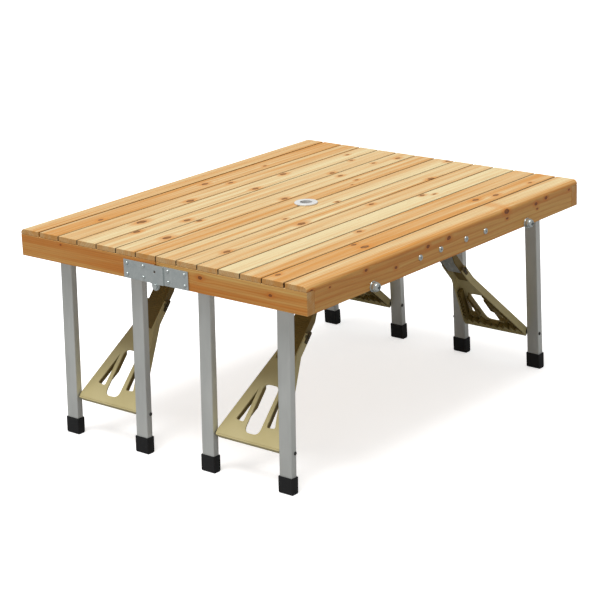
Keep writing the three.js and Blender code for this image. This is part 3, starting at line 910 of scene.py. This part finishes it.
def arm_edge(brace):
    """The outline of the arm: a narrow neck, then a wide part that reaches past the knuckle."""
    tail = brace.arm_length + ARM_TAIL
    upper = [
        (tail, ARM_HALF_WIDTH),
        (ARM_SHOULDER, ARM_HALF_WIDTH),
        (ARM_NECK, ARM_NECK_HALF_WIDTH),
        (-BARREL_RADIUS, ARM_NECK_HALF_WIDTH),
    ]
    return rounded(upper + [(x, -y) for x, y in reversed(upper)], 3)


def brace_arm(brace, material):
    """The arm from its pivot under the boards to the knuckle: a channel with its web outwards. It is made in
    the darker copy of the khaki, which paints the shade under the table.
    """
    shape = Shape(brace.arm_frame)
    low = -SKIN[1]
    high = -SKIN[0]
    shape.plate(arm_edge(brace), low, high)
    end = brace.arm_length + BARREL_RADIUS
    shape.rod(BARREL_RADIUS, (0, -ARM_NECK_HALF_WIDTH, 0), (0, ARM_NECK_HALF_WIDTH, 0))
    shape.rod(BARREL_RADIUS, (brace.arm_length, -ARM_HALF_WIDTH, 0), (brace.arm_length, ARM_HALF_WIDTH, 0))
    for side in (1, -1):
        neck = side * (ARM_NECK_HALF_WIDTH - RIM / 2)
        shape.rib((2, neck), (ARM_NECK + 1, neck), RIM, -ARM_NECK_RIM_TOP, low + RIB_OVERLAP)
        deep_rim(shape, side, end, low)
    cross_ribs(shape, low)
    grip_ridges(shape, high)
    # The arm takes the darker khaki, which is painted shade.
    shape.make(f"{brace.name}_brace_arm_moulding", material, f"{brace.name}_arm",
               bevel=ARM_SOFTNESS, stands_for=[f"{brace.name}_brace_arm"])


def arm_half_width(station):
    """Half the arm's width at a station."""
    return ARM_NECK_HALF_WIDTH if station < ARM_SHOULDER else ARM_HALF_WIDTH


def cross_ribs(shape, low):
    """Ribs across the inside of the arm, from rim to rim."""
    first = 14
    pitch = 12
    top = -0.6
    for step in range(14):
        station = first + step * pitch
        reach = arm_half_width(station) - RIM / 2
        shape.rib((station, -reach), (station, reach), RIB_THICKNESS, top, low + RIB_OVERLAP)


def grip_ridges(shape, high):
    """Fine ridges across the outside of the arm."""
    first = 24
    pitch = 4
    thickness = 1.6
    margin = 2.2
    height = 0.6
    for step in range(50):
        station = first + step * pitch
        reach = arm_half_width(station) - margin
        shape.rib((station, -reach), (station, reach), thickness, high - 0.1, high + height)


def deep_rim(shape, side, end, low):
    """The rim of the arm's wide part, which slopes down from the neck's shallow rim."""
    slope = 18
    profile = [
        (ARM_SHOULDER, low + RIB_OVERLAP),
        (ARM_SHOULDER, -ARM_NECK_RIM_TOP),
        (ARM_SHOULDER + slope, -RIM_TOP),
        (end, -RIM_TOP),
        (end, low + RIB_OVERLAP),
    ]
    shape.wall(profile, side * (ARM_HALF_WIDTH - RIM), side * ARM_HALF_WIDTH)


def steel_link(brace, steel):
    """The steel link inside the arm: a strap along the neck, then a deeper plate down to the knuckle."""
    shape = Shape(brace.arm_frame)
    thickness = 1.3
    shallow = -2.2
    deep = -8.8
    strap = [(9, shallow), (124, shallow), (124, shallow + thickness), (9, shallow + thickness)]
    plate_face = [(123, shallow), (130, shallow), (148, deep), (183, deep)]
    plate_back = [(x, level + thickness) for x, level in reversed(plate_face)]
    rivet = [(0, 0), (3, 0), (2.6, 0.7), (1.4, 1.1), (0, 1.2)]
    shape.wall(strap, -12.8, 12.8)
    shape.wall(plate_face + plate_back, -16.4, 16.4)
    for station, level in ((18, shallow), (68, shallow), (156, deep), (174, deep)):
        shape.turn(rivet, facing((station, 0, level), (0, 0, -1)), 20)
    shape.make(f"{brace.name}_steel_link", steel, f"{brace.name}_arm", bevel=ARM_SOFTNESS)


# ---------------------------------------------------------------- fixings

# Turned profiles are lists of (radius, height) in millimetres.
RIVET_DOME = [(0, 0), (3.7, 0), (3.7, 0.5), (3.3, 1.6), (2.5, 2.4), (1.3, 2.9), (0, 3.1)]
BOLT_WASHER = [(2.6, 0.05), (9.8, 0.05), (10.1, 0.5), (9.7, 1.4), (8.8, 1.6), (2.6, 1.6)]
BOLT_COLLAR = [(0, 1.6), (8.8, 1.6), (9.1, 2.2), (9, 7.4), (8.2, 8.2), (0, 8.2)]
CUP_WASHER = [(2, 0.02), (5.8, 0.02), (5.8, 0.5), (5.1, 1.8), (4.3, 2), (2, 1)]
PLATE_GAP = 0.3 * MM
PLATE_THICKNESS = 2 * MM
RIVETS_ACROSS = (30, 69.5)
RIVETS_ABOVE_RAIL_EDGE = (8.5, 29)
BOLTS_ALONG = (-243, 243)
BOLT_ABOVE_RAIL_EDGE = 6
SCREWS_ALONG = (-103, -40, 40, 103)
SCREW_ABOVE_RAIL_EDGE = 23


def plate_rivets(half, end, steel):
    """Four domed rivets through one leaf of a hinge plate."""
    rail_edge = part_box(f"{half}_end_rail_left")[0].z
    out = -1 if end == "left" else 1
    toward = 1 if half == "rear" else -1
    face = plate_outer_face(end)
    shape = Shape()
    for across in RIVETS_ACROSS:
        for height in RIVETS_ABOVE_RAIL_EDGE:
            spot = (face / MM, toward * across, rail_edge / MM + height)
            shape.turn(RIVET_DOME, facing(spot, (out, 0, 0)), 24)
    shape.make(f"{half}_plate_rivets_{end}", steel, f"{half}_half")


def plate_outer_face(end):
    """Where the outer face of the flat layer of the hinge plates lies along X, in metres."""
    rail_low, rail_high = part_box(f"rear_end_rail_{end}")
    if end == "right":
        return rail_high.x + PLATE_GAP + PLATE_THICKNESS
    return rail_low.x - PLATE_GAP - PLATE_THICKNESS


def rail_fixings(half, steel, dark_steel_and_shade):
    """On a side rail: two large bolts on washers low down, and four small screws in cup washers, with dark
    crosses laid in their recesses as painted shade.
    """
    low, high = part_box(f"{half}_edge_rail")
    out = 1 if half == "rear" else -1
    face = high.y / MM if out > 0 else low.y / MM
    metal = Shape()
    painted_recess_shade = Shape()
    for x in BOLTS_ALONG:
        spot = Vector((x, face, low.z / MM + BOLT_ABOVE_RAIL_EDGE))
        rail_bolt(metal, painted_recess_shade, facing(spot, (0, out, 0)))
    for x in SCREWS_ALONG:
        spot = Vector((x, face, low.z / MM + SCREW_ABOVE_RAIL_EDGE))
        rail_screw(metal, painted_recess_shade, facing(spot, (0, out, 0)))
    metal.make(f"{half}_rail_fixings", steel, f"{half}_half")
    painted_recess_shade.make(f"{half}_rail_recesses", dark_steel_and_shade, f"{half}_half")


def rail_bolt(metal, painted_recess_shade, place):
    """A washer, a deep collar and a domed head with a cross recess, whose shade is painted by a dark cross.
    """
    metal.turn(BOLT_WASHER, place, 40)
    metal.turn(BOLT_COLLAR, place, 40)
    metal.screw_head(7.8, 6.2, place @ raised(8.1))
    # Painted shade: a dark cross sheet in the recess.
    painted_recess_shade.cross(4.1, 1.6, place @ raised(9.4))


def rail_screw(metal, painted_recess_shade, place):
    """A small cross-headed screw sunk in a cup washer, the shade of its recess painted by a dark cross."""
    metal.turn(CUP_WASHER, place, 32)
    metal.screw_head(3.7, 1.6, place @ raised(0.9))
    # Painted shade: a dark cross sheet in the recess.
    painted_recess_shade.cross(2.2, 1.1, place @ raised(1.3))


def raised(height):
    """A step of height along the Z axis of the frame before it."""
    return Matrix.Translation((0, 0, height))


# ---------------------------------------------------------------- stage

CAMERA_PLACE = Vector((-2.911, -2.4026, 1.3983))
CAMERA_AZIMUTH = math.radians(-50.18)
CAMERA_ELEVATION = math.radians(17.54)
CAMERA_ROLL = math.radians(-2.16)
CAMERA_LENS = 121.6
FLOOR_BOUNCE = (0.42, 0.42, 0.42, 1)
FLOOR_GLOW = 0.62
SKY_STRENGTH = 0.4
KEY_TOWARD = (0.3, -0.02, -0.95)
KEY_STRENGTH = 2.3
KEY_ANGLE = math.radians(35)
FLOOR_REACH = 30


def add_camera():
    """The camera that sees the table from its front left corner, turned slightly about its own axis."""
    data = bpy.data.cameras.new("camera")
    data.sensor_width = 36
    data.lens = CAMERA_LENS
    data.clip_end = 60
    back = Vector((
        math.sin(CAMERA_AZIMUTH) * math.cos(CAMERA_ELEVATION),
        -math.cos(CAMERA_AZIMUTH) * math.cos(CAMERA_ELEVATION),
        math.sin(CAMERA_ELEVATION),
    ))
    level = Vector((0, 0, 1)).cross(back).normalized()
    upright = back.cross(level)
    turn = Matrix((level, upright, back)).transposed() @ Matrix.Rotation(CAMERA_ROLL, 3, "Z")
    camera = bpy.data.objects.new("camera", data)
    camera.matrix_world = Matrix.Translation(CAMERA_PLACE) @ turn.to_4x4()
    bpy.context.scene.collection.objects.link(camera)
    bpy.context.scene.camera = camera


def add_key():
    """The key light: a wide, soft sun from almost overhead."""
    data = bpy.data.lights.new("key", "SUN")
    data.energy = KEY_STRENGTH
    data.angle = KEY_ANGLE
    key = bpy.data.objects.new("key", data)
    key.rotation_mode = "QUATERNION"
    key.rotation_quaternion = Vector(KEY_TOWARD).to_track_quat("-Z", "Y")
    bpy.context.scene.collection.objects.link(key)


def add_floor():
    """A floor that looks white in the picture but throws little light back up at the table."""
    mesh = bpy.data.meshes.new("floor")
    turns = ((-1, -1), (1, -1), (1, 1), (-1, 1))
    corners = [(FLOOR_REACH * x, FLOOR_REACH * y, 0) for x, y in turns]
    mesh.from_pydata(corners, [], [(0, 1, 2, 3)])
    floor = bpy.data.objects.new("floor", mesh)
    finish = Finish("floor")
    seen = finish.add("ShaderNodeLightPath", {}).outputs["Is Camera Ray"]
    grain = finish.noise(finish.place(), scale=3, detail=2.0)
    pale = finish.ramp(grain, [(0.0, (0.94, 0.94, 0.94, 1)), (1.0, (0.96, 0.96, 0.96, 1))])
    finish.surface(
        Base_Color=finish.mix(seen, FLOOR_BOUNCE, pale),
        Roughness=0.9,
        Emission_Color=(1, 1, 1, 1),
        Emission_Strength=finish.math("MULTIPLY", seen, FLOOR_GLOW),
    )
    mesh.materials.append(finish.material)
    bpy.context.scene.collection.objects.link(floor)


def add_light():
    """A plain pale sky and the key light, shown without a film curve."""
    world = bpy.data.worlds.new("studio")
    world.use_nodes = True
    world.node_tree.nodes["Background"].inputs["Color"].default_value = (1, 1, 1, 1)
    world.node_tree.nodes["Background"].inputs["Strength"].default_value = SKY_STRENGTH
    bpy.context.scene.world = world
    add_key()
    bpy.context.scene.view_settings.view_transform = "Standard"


def dress_hardware():
    """Dresses the legs, feet, braces, plates and grommet, and adds the pieces that the CAD leaves out."""
    tube = aluminium()
    steel = zinc()
    rubber = moulded("black_rubber", srgb(26, 26, 27), srgb(17, 17, 18), 0.66)
    khaki = moulded("khaki_plastic", srgb(202, 189, 140), srgb(190, 176, 124), 0.46)
    # A darker copy of the khaki: painted shade for the panel's ribs and for the arms.
    khaki_in_painted_shade = moulded("khaki_plastic_in_painted_shade", srgb(134, 113, 56), srgb(116, 96, 46), 0.5)
    # Dark olive for the catches: partly their own colour, partly painted shade.
    dark_khaki_with_painted_shade = moulded("dark_khaki_plastic_with_painted_shade", srgb(84, 70, 34), srgb(68, 56, 26), 0.55)
    # Dark steel for the brace pins and catch studs; the same material paints the shade in the screw and bolt
    # recesses.
    dark_steel_and_shade = moulded("dark_steel_and_painted_shade", srgb(62, 60, 56), srgb(48, 46, 42), 0.4)
    white = moulded("white_plastic", srgb(232, 232, 230), srgb(224, 224, 222), 0.35)
    for name in FRAMES:
        for side in ("inner", "outer"):
            finish_node(f"{name}_leg_{side}", tube, TUBE_EDGE)
            finish_node(f"{name}_foot_{side}", rubber, FOOT_EDGE)
        finish_node(f"{name}_leg_pivot_rod", steel, STEEL_EDGE)
        finish_node(f"{name}_arm_bracket", steel, STEEL_EDGE)
        brace = Brace(name)
        brace_panel(brace, khaki, khaki_in_painted_shade)
        brace_pins(brace, dark_steel_and_shade)
        brace_catch(brace, dark_khaki_with_painted_shade, dark_steel_and_shade)
        brace_arm(brace, khaki_in_painted_shade)
        steel_link(brace, steel)
    for half in HALVES:
        for end in ENDS:
            finish_node(f"{half}_hinge_plate_{end}", steel, STEEL_EDGE)
            plate_rivets(half, end, steel)
        rail_fixings(half, steel, dark_steel_and_shade)
    finish_node("parasol_grommet", white, GROMMET_EDGE)


add_camera()
add_light()
add_floor()
dress_wood()
dress_hardware()
